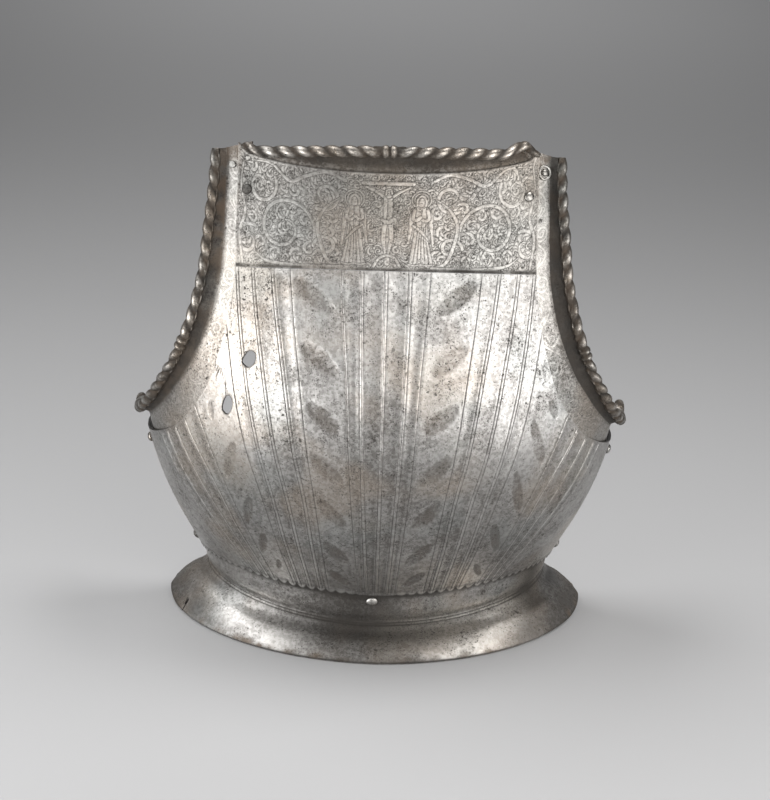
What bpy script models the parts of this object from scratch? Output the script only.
"""Fluted steel breastplate with gussets and a flanged waist plate.

The front of the body faces -Y, +X is the wearer's left, +Z is up and the
lower rim of the flange stands on z = 0. Sizes are given in millimetres from
the body's own axis; when a mesh is made they are turned into metres and moved
back, so that the middle of the whole breastplate stands over the origin.
"""
import bpy
import numpy as np

MM = 0.001
BODY_AXIS = 75.71      # the body's axis lies this far behind the origin

# plates
PLATE = 2.0            # thickness of the main plate and the waist plate
GUSSET_PLATE = 1.8     # thickness of a gusset
LAP = 1.0              # space left between two plates that overlap
SIDE_ANGLE = 93.0      # angle round the body of the main plate's side edges
TUCK = 11.0            # how far a gusset reaches in under the main plate
TUCK_SIDE = 20.0       # and how far below the armpit

# fluting
RIDGE_HEIGHT = 0.8     # crest of a ridge above the plate
RIDGE_HALF = 1.5       # half width of a ridge at its foot
FLUTE_DEPTH = 0.5      # hollow between two ridges
PANEL_SINK = 0.5       # the etched panel lies this much below the fluted field
FIELD_ROWS = 9

# lower edge of the main plate
NICK_COUNT = 58
NICK_DEPTH = 1.2

# roped rolls
ROLL_RADIUS = 5.2
ROLL_GROOVE = 1.1      # depth of the groove between two strands
ROLL_COLLAR = 0.7      # extra radius of the collar where the twist turns over
ROLL_LEAN = 9.0        # a strand runs this far along the roll on each side
ROLL_ANGLES = (192, 145, 98, 51, 4, -43)
ROLL_LIFT = 3.5        # an armhole roll stands this much out from the body
NECK_STRANDS = 20
NECK_COLLAR = 0.5      # share of the way along the roll
ARM_STRANDS = 28
ARM_COLLAR = 0.5
GUSSET_STATIONS = 24

# waist plate
BAND_TOP = 68.0
FLANGE_OUT = 37.0      # reach of the flange at the front
FLANGE_OUT_SIDE = 33.0
WAIST_ANGLE = 97.0
WAIST_COLUMNS = 34
FOLD_HEIGHT = 18.0     # height of the fold at the front
FOLD_RISE = 14.0       # and how much higher it lies at the sides
FOLD_HALF_WIDTH = 142.0
FOLD_DEPTH = 104.0
RIM_LIFT = 5.0         # the rear corners of the flange stand this much clear

# rivets
HEAD_SIDES = 14
RING_SIDES = 16
SEAT = 0.3             # space under a rivet head
SIDE_HEAD = (4.2, 2.8)       # radius and height of a domed head
WAIST_HEAD = (4.0, 2.6)
CENTRE_HEAD = (4.3, 2.2)
PANEL_HEAD = (4.2, 2.6)
STRAP_HEAD = (3.0, 2.0)
WORN_RADIUS = 3.7            # the flat, worn head on the right shoulder
WORN_HEIGHT = 1.0
WASHER = (3.6, 5.7, 1.2)     # inner radius, outer radius, thickness
SIDE_RIVET = (84.0, 147.0)   # angle and height on the body
WAIST_RIVET = (84.0, 58.5)
PANEL_RIVET = (40.7, 387.0)
SHOULDER_RIVET = (48.5, 403.0)
CENTRE_RIVET_HEIGHT = 41.5

# holes for a lance rest, wearer's right: angle, height, radii and lean
HOLE_COLUMNS = ("angle", "height", "across", "along", "lean")
HOLES = (
    (-32.7, 259.5, 4.8, 6.6, -20.0),
    (-37.9, 218.7, 4.4, 7.9, -12.0),
)

# half width and depth of the curved body, by height
BODY_COLUMNS = ("height", "half_width", "depth")
BODY = (
    (0.0, 128.0, 85.0),
    (30.0, 138.0, 103.0),
    (47.0, 147.0, 110.0),
    (60.0, 154.0, 117.0),
    (100.0, 175.0, 139.0),
    (143.0, 191.0, 156.0),
    (180.0, 199.0, 164.0),
    (225.0, 200.0, 164.0),
    (265.0, 195.0, 157.0),
    (330.0, 183.0, 141.0),
    (370.0, 174.0, 128.0),
    (408.0, 166.0, 114.0),
    (450.0, 160.0, 100.0),
)

# ridges of the right half: angle round the body at six heights
RIDGE_COLUMNS = ("h52", "h100", "h145", "h190", "h235", "h330")
RIDGE_HEIGHTS = (52.0, 100.0, 145.0, 190.0, 235.0, 330.0)
RIDGES = {
    "centre": (0.0, 0.0, 0.0, 0.0, 0.0, 0.0),
    "centre_side": (3.1, 3.5, 3.9, 4.3, 4.8, 5.9),
    "centre_edge": (5.7, 6.2, 6.8, 7.4, 8.1, 10.9),
    "middle_edge": (15.0, 15.1, 15.6, 17.0, 18.8, 24.1),
    "middle_1": (17.5, 17.7, 18.2, 20.2, 22.4, 29.0),
    "middle_2": (21.0, 21.6, 22.6, 25.0, 27.6, 34.8),
    "middle_3": (24.6, 25.4, 26.6, 29.4, 32.5, 39.8),
    "middle_rim": (26.8, 28.0, 29.7, 33.0, 36.4, 44.5),
    "outer_edge": (33.3, 36.3, 39.9, 45.0, 52.5, 70.0),
    "outer_1": (35.8, 39.9, 44.0, 51.5, 60.0, 80.0),
    "outer_2": (38.4, 43.2, 50.0, 57.8, 67.0, 88.0),
    "outer_3": (41.0, 48.0, 56.5, 63.5, 73.0, 92.0),
    "outer_rim": (43.5, 51.8, 60.5, 68.5, 78.0, 95.0),
}
# plain fields follow these ridges instead of a hollow
PLAIN_AFTER = ("centre_edge", "middle_rim", "outer_rim")

# nicked lower edge of the main plate
HEM_COLUMNS = ("angle", "height")
HEM = (
    (0.0, 48.0),
    (28.0, 51.0),
    (38.0, 53.0),
    (50.0, 55.0),
    (60.0, 55.5),
    (70.0, 54.5),
    (93.0, 50.0),
)

# stations down a gusset, from the shoulder round to the side
GUSSET_COLUMNS = ("seam_angle", "seam_height", "arm_angle", "arm_height", "turn")
GUSSET = (
    (46.5, 421.0, 54.5, 412.5, 2.0),
    (43.9, 381.0, 52.5, 384.0, 4.0),
    (42.0, 352.0, 51.2, 352.0, 7.0),
    (40.3, 328.0, 50.3, 324.0, 9.0),
    (40.1, 300.0, 50.8, 300.0, 10.0),
    (40.8, 275.0, 52.1, 278.0, 10.0),
    (42.8, 245.0, 54.4, 257.0, 9.5),
    (45.0, 227.0, 57.0, 240.0, 9.0),
    (48.1, 212.0, 60.8, 223.0, 8.0),
    (51.9, 198.0, 64.9, 208.0, 7.0),
    (56.0, 187.0, 69.0, 197.0, 6.0),
    (60.5, 179.0, 73.2, 188.5, 5.5),
    (67.2, 170.0, 78.0, 181.0, 5.0),
    (74.5, 163.0, 83.0, 175.5, 5.0),
    (83.0, 158.0, 88.5, 172.0, 5.0),
    (93.0, 156.0, 93.0, 170.0, 5.0),
)

# neck: crease line and roped roll, by share of the half length
NECK_HALF = 109.0
CREASE_HEIGHT = 408.0
CREASE_RISE = 6.0
ROLL_FRONT = 127.0
ROLL_TOP = 430.5
ROLL_BACK = 36.0
ROLL_DROP = 10.5
NECK_COLUMNS = 20

STEEL = {"colour": (0.50, 0.48, 0.45, 1.0), "roughness": 0.38}
RIVET_STEEL = {"colour": (0.40, 0.38, 0.35, 1.0), "roughness": 0.42}


def curve(xs, ys, x):
    """Smooth curve through the points of a table."""
    xs = np.asarray(xs, float)
    ys = np.asarray(ys, float)
    slope = np.gradient(ys, xs)
    i = np.clip(np.searchsorted(xs, x) - 1, 0, len(xs) - 2)
    step = xs[i + 1] - xs[i]
    t = (x - xs[i]) / step
    start = ys[i] * (1 + 2 * t) * (1 - t) ** 2 + slope[i] * step * t * (1 - t) ** 2
    end = ys[i + 1] * t * t * (3 - 2 * t) + slope[i + 1] * step * t * t * (t - 1)
    return start + end


def column(table, names, name):
    return [row[names.index(name)] for row in table]


def smooth_step(x):
    x = np.clip(x, 0.0, 1.0)
    return x * x * (3 - 2 * x)


def unit(v):
    return v / np.linalg.norm(v)


def body_point(angle, height):
    """Point of the plain body: angle round it from the front, height above the rim."""
    heights = column(BODY, BODY_COLUMNS, "height")
    half = curve(heights, column(BODY, BODY_COLUMNS, "half_width"), height)
    depth = curve(heights, column(BODY, BODY_COLUMNS, "depth"), height)
    fullness = 1.0 - 0.15 * smooth_step((height - 200.0) / 100.0)
    c = np.cos(np.radians(angle))
    y = -depth * np.sign(c) * abs(c) ** fullness
    return np.array([half * np.sin(np.radians(angle)), y, height])


def body_normal(angle, height):
    across = body_point(angle + 0.2, height) - body_point(angle - 0.2, height)
    along = body_point(angle, height + 0.5) - body_point(angle, height - 0.5)
    return unit(np.cross(across, along))


def on_body(angle, height, lift=0.0):
    return body_point(angle, height) + lift * body_normal(angle, height)


def degrees_for(length, angle, height):
    """Angle that spans a length measured round the body."""
    span = body_point(angle + 0.5, height) - body_point(angle - 0.5, height)
    return length / np.linalg.norm(span)


class Sheet:
    """Plate built from pairs of points, one on the front and one on the back."""

    def __init__(self):
        self.front = []
        self.back = []
        self.faces = []
        self.extra = []
        self.extra_faces = []
        self.rolled = set()

    def add(self, front, back):
        self.front.append(front)
        self.back.append(back)
        return len(self.front) - 1

    def add_row(self, pairs):
        return [self.add(front, back) for front, back in pairs]

    def join(self, low, high):
        """Skin between two rows that may have different numbers of points."""
        self.faces += zip_rows(low, high, self.front)

    def roll(self, row, rings):
        """Bead along an edge: from the front points of a row round to its back points."""
        count = len(self.front)
        ids = []
        for ring in rings:
            start = 2 * count + len(self.extra)
            self.extra += list(ring)
            ids.append(list(range(start, start + len(ring))))
        front_row = list(row)
        back_row = [i + count for i in row]
        points = self.points()
        chains = [front_row] + ids + [back_row]
        for low, high in zip(chains[:-1], chains[1:]):
            self.extra_faces += zip_rows(low, high, points)
        for end, turned in ((0, False), (-1, True)):
            loop = [chain[end] for chain in chains]
            middle = np.mean([points[i] for i in loop], axis=0)
            hub = 2 * count + len(self.extra)
            self.extra.append(middle)
            for a, b in zip(loop, loop[1:] + loop[:1]):
                self.extra_faces.append((hub, b, a) if turned else (hub, a, b))
        self.rolled = {tuple(sorted(pair)) for pair in zip(row[:-1], row[1:])}

    def points(self):
        return self.front + self.back + self.extra

    def solid(self):
        """All points and faces of the closed plate."""
        count = len(self.front)
        skin = [part for face in self.faces for part in split(face)]
        faces = skin + list(self.extra_faces)
        faces += [tuple(i + count for i in reversed(face)) for face in skin]
        edges = {}
        for face in self.faces:
            for a, b in zip(face, face[1:] + face[:1]):
                edges[(a, b)] = True
        for a, b in edges:
            if (b, a) not in edges and tuple(sorted((a, b))) not in self.rolled:
                faces.append((b, a, a + count, b + count))
        return self.points(), faces


def split(face):
    """Two triangles from a four-sided face, so that front and back fold alike."""
    if len(face) == 3:
        return [face]
    a, b, c, d = face
    return [(a, b, c), (a, c, d)]


def zip_rows(low, high, points):
    """Faces between two rows, quads where the rows match and triangles elsewhere."""
    if len(low) == len(high):
        return [(low[i], low[i + 1], high[i + 1], high[i]) for i in range(len(low) - 1)]
    low_run = run_length([points[i] for i in low])
    high_run = run_length([points[i] for i in high])
    faces = []
    i = 0
    j = 0
    while i < len(low) - 1 or j < len(high) - 1:
        low_next = low_run[i + 1] if i < len(low) - 1 else 9.0
        high_next = high_run[j + 1] if j < len(high) - 1 else 9.0
        if low_next <= high_next:
            faces.append((low[i], low[i + 1], high[j]))
            i += 1
        else:
            faces.append((low[i], high[j + 1], high[j]))
            j += 1
    return faces


def run_length(points):
    """Share of the way along a row for each of its points."""
    steps = np.linalg.norm(np.diff(np.array(points), axis=0), axis=1)
    run = np.concatenate([[0.0], np.cumsum(steps)])
    return run / run[-1]


def make_object(name, points, faces, steel, crease=35.0):
    mesh = bpy.data.meshes.new(name)
    placed = (np.array(points) + np.array([0.0, BODY_AXIS, 0.0])) * MM
    mesh.from_pydata(placed.tolist(), [], faces)
    mesh.validate()
    mesh.update()
    mesh.polygons.foreach_set("use_smooth", [True] * len(mesh.polygons))
    mesh.set_sharp_from_angle(angle=np.radians(crease))
    material = bpy.data.materials.new(name + "_steel")
    material.use_nodes = True
    shader = material.node_tree.nodes["Principled BSDF"]
    shader.inputs["Base Color"].default_value = steel["colour"]
    shader.inputs["Metallic"].default_value = 1.0
    shader.inputs["Roughness"].default_value = steel["roughness"]
    mesh.materials.append(material)
    made = bpy.data.objects.new(name, mesh)
    bpy.context.scene.collection.objects.link(made)
    return made


def ridge_angle(name, height):
    return curve(RIDGE_HEIGHTS, RIDGES[name], height)


def seam_point(station):
    """Angle and height of the main plate's edge over a gusset, by station number."""
    stations = np.arange(len(GUSSET))
    angle = curve(stations, column(GUSSET, GUSSET_COLUMNS, "seam_angle"), station)
    height = curve(stations, column(GUSSET, GUSSET_COLUMNS, "seam_height"), station)
    return angle, height


def arm_point(station):
    stations = np.arange(len(GUSSET))
    angle = curve(stations, column(GUSSET, GUSSET_COLUMNS, "arm_angle"), station)
    height = curve(stations, column(GUSSET, GUSSET_COLUMNS, "arm_height"), station)
    return angle, height


def hem_height(angle):
    return curve(column(HEM, HEM_COLUMNS, "angle"), column(HEM, HEM_COLUMNS, "height"), abs(angle))


PANEL_STATION = 3      # station of the seam at the lower corner of the panel
CORNER_ANGLE, CORNER_HEIGHT = seam_point(PANEL_STATION)


def step_height(angle):
    """Lower border of the panel, slightly arched."""
    return CORNER_HEIGHT + 8.0 * (1 - (angle / CORNER_ANGLE) ** 2)


def field_columns():
    """Columns of the right half as (ridge, next ridge, share, offset, lift)."""
    names = list(RIDGES)
    columns = []
    for i, name in enumerate(names):
        if i > 0:
            columns.append((name, name, 0.0, -RIDGE_HALF, 0.0))
        columns.append((name, name, 0.0, 0.0, RIDGE_HEIGHT))
        columns.append((name, name, 0.0, RIDGE_HALF, 0.0))
        if name == names[-1]:
            break
        if name in PLAIN_AFTER:
            columns.append((name, names[i + 1], 0.35, 0.0, 0.0))
            columns.append((name, names[i + 1], 0.68, 0.0, 0.0))
        else:
            columns.append((name, names[i + 1], 0.5, 0.0, -FLUTE_DEPTH))
    return columns


def column_angle(entry, height):
    first, second, share, offset, lift = entry
    angle = (1 - share) * ridge_angle(first, height) + share * ridge_angle(second, height)
    return angle + offset * degrees_for(1.0, angle, height)


def column_top(entry):
    """Where a column of the fluted field ends: at the panel or at the seam."""
    if entry[0] == "middle_3" and entry[3] > 0:
        return CORNER_ANGLE, CORNER_HEIGHT
    angle = column_angle(entry, 330.0)
    if angle < CORNER_ANGLE:
        height = step_height(angle)
        return column_angle(entry, height), height
    low = float(PANEL_STATION)
    high = len(GUSSET) - 1.0
    for _ in range(40):
        middle = (low + high) / 2
        angle, height = seam_point(middle)
        if column_angle(entry, height) > angle:
            low = middle
        else:
            high = middle
    return seam_point(low)


def field_grid():
    """Angle, height and lift of each column, from the hem to its top."""
    shares = np.linspace(0.0, 1.0, FIELD_ROWS + 1)
    grid = []
    for entry in field_columns():
        top_angle, top_height = column_top(entry)
        bottom = hem_height(column_angle(entry, 52.0)) + 5.0
        heights = bottom + (top_height - bottom) * shares
        angles = [column_angle(entry, h) for h in heights]
        angles[-1] = top_angle
        grid.append([(a, h, entry[4]) for a, h in zip(angles, heights)])
    rim = grid[-1]
    last = len(GUSSET) - 1.0
    start = seam_station(rim[-1][0])
    for q in (0.18, 0.38, 0.58, 0.79, 1.0):
        top_angle, top_height = seam_point(start + (last - start) * q)
        foot_angle = rim[0][0] + (SIDE_ANGLE - rim[0][0]) * q
        bottom = hem_height(foot_angle) + 5.0
        side = []
        for share, (rim_angle, _, _) in zip(shares, rim):
            straight = foot_angle + (top_angle - foot_angle) * share
            bulge = rim_angle - (rim[0][0] + (rim[-1][0] - rim[0][0]) * share)
            side.append((straight + bulge * (1 - q), bottom + (top_height - bottom) * share, 0.0))
        grid.append(side)
    return grid


def seam_station(angle):
    """Station of the seam, below the panel, at a given angle."""
    low = PANEL_STATION + 2.0
    high = len(GUSSET) - 1.0
    for _ in range(40):
        middle = (low + high) / 2
        if seam_point(middle)[0] < angle:
            low = middle
        else:
            high = middle
    return low


def plate_pair(angle, height, lift=0.0, sink=0.0):
    return on_body(angle, height, lift - sink), on_body(angle, height, -PLATE - sink)


def mirrored(half):
    """Whole row from the columns of its right half, centre first."""
    return [(-a, h, lift) for a, h, lift in reversed(half[1:])] + half


def build_main_plate():
    sheet = Sheet()
    grid = field_grid()
    nicks = np.linspace(-SIDE_ANGLE, SIDE_ANGLE, 2 * NICK_COUNT + 1)
    hem = []
    for i, angle in enumerate(nicks):
        depth = NICK_DEPTH * smooth_step(abs(angle) / 20.0)
        rise = depth if i % 2 else 0.0
        hem.append(plate_pair(angle, hem_height(angle) + rise))
    below = sheet.add_row(hem)
    for j in range(FIELD_ROWS + 1):
        half = [column_points[j] for column_points in grid]
        row = sheet.add_row([plate_pair(*point) for point in mirrored(half)])
        sheet.join(below, row)
        below = row
    tops = mirrored([column_points[-1] for column_points in grid])
    inside = [i for i, point in enumerate(tops) if abs(point[0]) <= CORNER_ANGLE + 0.01]
    below = below[inside[0]:inside[-1] + 1]

    flange_share = 0.92
    inner = list(np.linspace(-flange_share, flange_share, NECK_COLUMNS - 1))
    shares = [-1.0] + inner + [1.0]
    seam_heights = column(GUSSET, GUSSET_COLUMNS, "seam_height")[:PANEL_STATION + 1]
    seam_angles = column(GUSSET, GUSSET_COLUMNS, "seam_angle")[:PANEL_STATION + 1]
    for level in (0.0, 0.33, 0.66, 1.0):
        pairs = []
        for share in shares:
            q = abs(share) / flange_share
            crease = CREASE_HEIGHT + CREASE_RISE * min(q, 1.0) ** 2.5
            if abs(share) == 1.0:
                crease = seam_heights[0]
            foot = step_height(share * CORNER_ANGLE) + 0.6
            height = foot + (crease - foot) * level
            edge = curve(seam_heights[::-1], seam_angles[::-1], height)
            pairs.append(plate_pair(share * edge, height, 0.0, PANEL_SINK))
        row = sheet.add_row(pairs)
        sheet.join(below, row)
        below = row

    crease_row = below[1:-1]
    count = NECK_STRANDS * 3 + 1
    coarse = neck_frames(np.linspace(-1, 1, len(crease_row)), sheet, crease_row)
    middle_row = []
    attach_row = []
    for index, (centre, away, out) in zip(crease_row, coarse):
        start = sheet.front[index]
        end = centre - 0.95 * ROLL_RADIUS * away - 3.0 * out
        bend = (start + end) / 2 - 1.6 * out
        middle_row.append((bend, bend - PLATE * out))
        attach_row.append((end, end - PLATE * out))
    middle_ids = sheet.add_row(middle_row)
    attach_ids = sheet.add_row(attach_row)
    sheet.join(crease_row, middle_ids)
    sheet.join(middle_ids, attach_ids)
    rings = rope_rings(lambda s: neck_frame_at(s, coarse), count, NECK_COLLAR, 2 * NECK_HALF)
    sheet.roll(attach_ids, rings)
    return sheet


def neck_centre(share):
    q = share * share
    return np.array([NECK_HALF * share, -ROLL_FRONT + ROLL_BACK * q, ROLL_TOP - ROLL_DROP * q])


def neck_frames(shares, sheet, crease_row):
    """Centre of the neck roll with its two directions, one frame for each column."""
    frames = []
    for share, index in zip(shares, crease_row):
        centre = neck_centre(share)
        tangent = unit(neck_centre(share + 0.01) - neck_centre(share - 0.01))
        away = centre - sheet.front[index]
        away = unit(away - tangent * np.dot(away, tangent))
        frames.append((centre, away, unit(np.cross(tangent, away))))
    return frames


def neck_frame_at(s, frames):
    """Frame at a share of the way along, between the frames of the columns."""
    share = 2 * s - 1
    place = np.clip(s, 0, 1) * (len(frames) - 1)
    i = min(int(place), len(frames) - 2)
    t = place - i
    away = frames[i][1] * (1 - t) + frames[i + 1][1] * t
    out = frames[i][2] * (1 - t) + frames[i + 1][2] * t
    return neck_centre(share), unit(away), unit(out)


def rope_rings(frame_at, count, collar, length):
    """Rows of a roped roll; the twist turns over at the collar."""
    rings = []
    for angle in ROLL_ANGLES:
        ring = []
        for i in range(count):
            s = i / (count - 1)
            run = (s - collar) * length
            grip = smooth_step((abs(run) - 4.0) / 22.0) * np.sign(run)
            grip *= smooth_step(min(s, 1 - s) * length / 14.0)
            shift = ROLL_LEAN * (75.0 - angle) / 120.0 * grip / length
            centre, away, out = frame_at(s + shift)
            radius = ROLL_RADIUS - (ROLL_GROOVE if i % 3 == 0 else 0.0)
            radius += ROLL_COLLAR * (1 - smooth_step(abs(run) / 14.0))
            turn = np.radians(angle)
            ring.append(centre + radius * (np.cos(turn) * away + np.sin(turn) * out))
        rings.append(ring)
    return rings


def hidden_point(station):
    """Edge of a gusset underneath the main plate."""
    seam_angle, seam_height = seam_point(station)
    arm_angle, arm_height = arm_point(station)
    per_degree = 1.0 / degrees_for(1.0, seam_angle, seam_height)
    slant = np.array([(seam_angle - arm_angle) * per_degree, seam_height - arm_height])
    level = np.array([-1.0, -0.3])
    blend = smooth_step((station - 4.0) / 5.0)
    reach = TUCK + (TUCK_SIDE - TUCK) * smooth_step((station - 9.5) / 4.5)
    step = unit(unit(slant) * blend + level * (1 - blend)) * reach
    return seam_angle + step[0] / per_degree, seam_height + step[1]


def arm_stations(count):
    """Stations that share the armhole edge into equal lengths."""
    fine = np.linspace(0, len(GUSSET) - 1, 241)
    run = run_length([on_body(*arm_point(station)) for station in fine])
    return np.interp(np.linspace(0, 1, count), run, fine)


def arm_frame(station):
    """Centre of an armhole roll, the direction away from the gusset and outward."""
    centre = on_body(*arm_point(station), ROLL_LIFT)
    before = on_body(*arm_point(max(station - 0.1, 0.0)), ROLL_LIFT)
    after = on_body(*arm_point(min(station + 0.1, len(GUSSET) - 1.0)), ROLL_LIFT)
    tangent = unit(after - before)
    out = body_normal(*arm_point(station))
    out = unit(out - tangent * np.dot(out, tangent))
    return centre, np.cross(out, tangent), out


def build_gusset():
    """Gusset on the wearer's left, with its roped roll."""
    sheet = Sheet()
    outer = -PLATE - PANEL_SINK - LAP
    rows = [[] for _ in range(5)]
    turns = column(GUSSET, GUSSET_COLUMNS, "turn")
    for station in arm_stations(GUSSET_STATIONS):
        hidden = np.array(hidden_point(station))
        arm = np.array(arm_point(station))
        width = np.linalg.norm(on_body(*arm) - on_body(*hidden))
        turn = curve(np.arange(len(GUSSET)), turns, station)
        valley = 1.0 - (turn + 4.0) / width
        for row, share in zip(rows, (0.0, 0.5 * valley, valley)):
            place = hidden + (arm - hidden) * share
            row.append((on_body(*place, outer), on_body(*place, outer - GUSSET_PLATE)))
        centre, away, out = arm_frame(station)
        end = centre - 0.95 * ROLL_RADIUS * away - 3.0 * out
        foot = rows[2][-1][0]
        bend = (foot + end) / 2 - 0.8 * out
        rows[3].append((bend, bend - GUSSET_PLATE * out))
        rows[4].append((end, end - GUSSET_PLATE * out))
    below = sheet.add_row(rows[0])
    for row in rows[1:]:
        ids = sheet.add_row(row)
        sheet.join(below, ids)
        below = ids
    fine = arm_stations(200)
    edge = np.array([on_body(*arm_point(station)) for station in fine])
    length = np.linalg.norm(np.diff(edge, axis=0), axis=1).sum()
    along = np.linspace(0, 1, 200)
    count = ARM_STRANDS * 3 + 1
    rings = rope_rings(lambda s: arm_frame(np.interp(s, along, fine)), count, ARM_COLLAR, length)
    sheet.roll(below, rings)
    return sheet


def waist_section(angle):
    """Points of the waist plate's front, from its hidden top down to the rim."""
    turn = np.radians(angle)
    side = abs(np.sin(turn))
    past = max(abs(angle) - 70.0, 0.0) / (WAIST_ANGLE - 70.0)
    hem = hem_height(angle)
    fold_height = FOLD_HEIGHT + FOLD_RISE * side ** 1.8
    fold = np.array([FOLD_HALF_WIDTH * np.sin(turn), -FOLD_DEPTH * np.cos(turn), fold_height])
    reach = FLANGE_OUT + (FLANGE_OUT_SIDE - FLANGE_OUT) * side
    corner = smooth_step((abs(angle) - 90.0) / 7.0)
    reach -= 3.0 * corner
    spread = np.array([
        (FOLD_HALF_WIDTH + reach) * np.sin(turn),
        -(FOLD_DEPTH + reach) * np.sign(np.cos(turn)) * abs(np.cos(turn)) ** 1.12,
        PLATE * 0.93 + RIM_LIFT * past * past,
    ])
    top = on_body(angle, BAND_TOP, -PLATE - LAP)
    lap = on_body(angle, hem + 1.0, -PLATE - LAP)
    band = fold + (lap - fold) * 0.45
    band[2] = fold_height + (hem - fold_height) * 0.40
    turned = fold + (spread - fold) * 0.10 + np.array([0.0, 0.0, 0.6])
    middle = fold + (spread - fold) * 0.5 - np.array([0.0, 0.0, 0.8])
    neck = fold + np.array([0.0, 0.0, 3.0])
    return [spread, middle, turned, neck, band, lap, top]


def build_waist_plate():
    sheet = Sheet()
    angles = np.linspace(-WAIST_ANGLE, WAIST_ANGLE, WAIST_COLUMNS + 1)
    fronts = np.array([waist_section(a) for a in angles])
    across = np.gradient(fronts, axis=0)
    upward = np.gradient(fronts, axis=1)
    normals = np.cross(across, upward)
    normals /= np.linalg.norm(normals, axis=2, keepdims=True)
    backs = fronts - PLATE * normals
    below = None
    for j in range(fronts.shape[1]):
        ids = sheet.add_row(list(zip(fronts[:, j], backs[:, j])))
        if below:
            sheet.join(below, ids)
        below = ids
    return sheet


def mirror(points, faces):
    flipped = [np.array([-p[0], p[1], p[2]]) for p in points]
    return flipped, [tuple(reversed(face)) for face in faces]


def axes_at(centre, out, lean=0.0):
    """Frame on a surface: centre, two directions along it and the way out."""
    right = unit(np.cross(np.array([0.0, 0.0, 1.0]), out))
    upward = unit(np.cross(out, right))
    turn = np.radians(lean)
    across = np.cos(turn) * right + np.sin(turn) * upward
    return centre, across, np.cross(out, across), out


def turned_solid(frame, profile, segments, squash=1.0):
    """Solid turned about the frame's axis; the profile lists (radius, height)."""
    centre, right, upward, out = frame
    points = []
    faces = []
    for radius, height in profile:
        for i in range(segments):
            turn = 2 * np.pi * i / segments
            across = radius * (np.cos(turn) * right + squash * np.sin(turn) * upward)
            points.append(centre + across + height * out)
    for j in range(len(profile) - 1):
        for i in range(segments):
            k = (i + 1) % segments
            base = j * segments
            faces.append((base + i, base + k, base + segments + k, base + segments + i))
    last = (len(profile) - 1) * segments
    faces.append(tuple(reversed(range(segments))))
    faces.append(tuple(range(last, last + segments)))
    return points, faces


def ring_solid(frame, inner, outer, low, high):
    """Flat ring round the frame's axis."""
    centre, right, upward, out = frame
    segments = RING_SIDES
    points = []
    faces = []
    for radius, height in ((inner, low), (outer, low), (outer, high), (inner, high)):
        for i in range(segments):
            turn = 2 * np.pi * i / segments
            across = radius * (np.cos(turn) * right + np.sin(turn) * upward)
            points.append(centre + across + height * out)
    for j in range(4):
        for i in range(segments):
            k = (i + 1) % segments
            m = (j + 1) % 4
            corners = (j * segments + i, j * segments + k, m * segments + k, m * segments + i)
            faces.append(corners)
    return points, faces


def dome(radius, height):
    """Profile of a domed head, from its seat to its crown."""
    profile = [(radius * 0.95, SEAT)]
    for step in (4.0, 30.0, 55.0, 76.0):
        a = np.radians(step)
        profile.append((radius * np.cos(a), SEAT + 0.3 + (height - 0.3) * np.sin(a)))
    return profile


def body_frame(angle, height, lift=0.0, lean=0.0):
    return axes_at(on_body(angle, height, lift), body_normal(angle, height), lean)


def centre_frame():
    """Frame of the rivet on the front of the waist band."""
    section = waist_section(0.0)
    low = section[4]
    high = section[5]
    share = (CENTRE_RIVET_HEIGHT - low[2]) / (high[2] - low[2])
    out = unit(np.cross(np.array([1.0, 0.0, 0.0]), high - low))
    return axes_at(low + (high - low) * share, out)


def add_head(name, frame, profile, squash=1.0):
    points, faces = turned_solid(frame, profile, HEAD_SIDES, squash)
    return make_object(name, points, faces, RIVET_STEEL)


def build_rivets():
    """Heads of the rivets, each one its own solid."""
    for side, word in ((-1, "right"), (1, "left")):
        angle, height = SIDE_RIVET
        add_head("rivet_side_" + word, body_frame(side * angle, height), dome(*SIDE_HEAD))
        angle, height = WAIST_RIVET
        add_head("rivet_waist_" + word, body_frame(side * angle, height), dome(*WAIST_HEAD))
        angle, height = PANEL_RIVET
        on_panel = body_frame(side * angle, height, -PANEL_SINK)
        add_head("rivet_panel_" + word, on_panel, dome(*PANEL_HEAD))
    add_head("rivet_waist_centre", centre_frame(), dome(*CENTRE_HEAD))

    angle, height = SHOULDER_RIVET
    shoulder_lift = -PLATE - PANEL_SINK - LAP
    on_left = body_frame(angle, height, shoulder_lift)
    add_head("rivet_shoulder_left", on_left, dome(*STRAP_HEAD))
    inner, outer, thick = WASHER
    washer = ring_solid(on_left, inner, outer, SEAT, SEAT + thick)
    make_object("washer_shoulder_left", *washer, RIVET_STEEL)
    on_right = body_frame(-angle, height, shoulder_lift, -8.0)
    worn = [
        (WORN_RADIUS * 0.97, SEAT),
        (WORN_RADIUS, SEAT + 0.4),
        (WORN_RADIUS * 0.86, SEAT + WORN_HEIGHT),
    ]
    add_head("rivet_shoulder_right", on_right, worn, 0.72)


def cut_holes(plate):
    """Two through holes for a lance rest."""
    for number, (angle, height, across, along, lean) in enumerate(HOLES):
        name = "hole_%d" % number
        punch = [(across, -8.0), (across, 6.0)]
        frame = body_frame(angle, height, 0.0, lean)
        points, faces = turned_solid(frame, punch, RING_SIDES, along / across)
        cutter = make_object(name, points, faces, STEEL)
        cutter.hide_render = True
        cutter.display_type = "WIRE"
        cut = plate.modifiers.new(name, "BOOLEAN")
        cut.operation = "DIFFERENCE"
        cut.solver = "EXACT"
        cut.object = cutter


def main():
    for old in list(bpy.data.objects):
        bpy.data.objects.remove(old, do_unlink=True)

    main_plate = make_object("main_plate", *build_main_plate().solid(), STEEL)
    cut_holes(main_plate)
    gusset = build_gusset().solid()
    make_object("gusset_left", *gusset, STEEL)
    make_object("gusset_right", *mirror(*gusset), STEEL)
    make_object("waist_plate", *build_waist_plate().solid(), STEEL)
    build_rivets()


main()
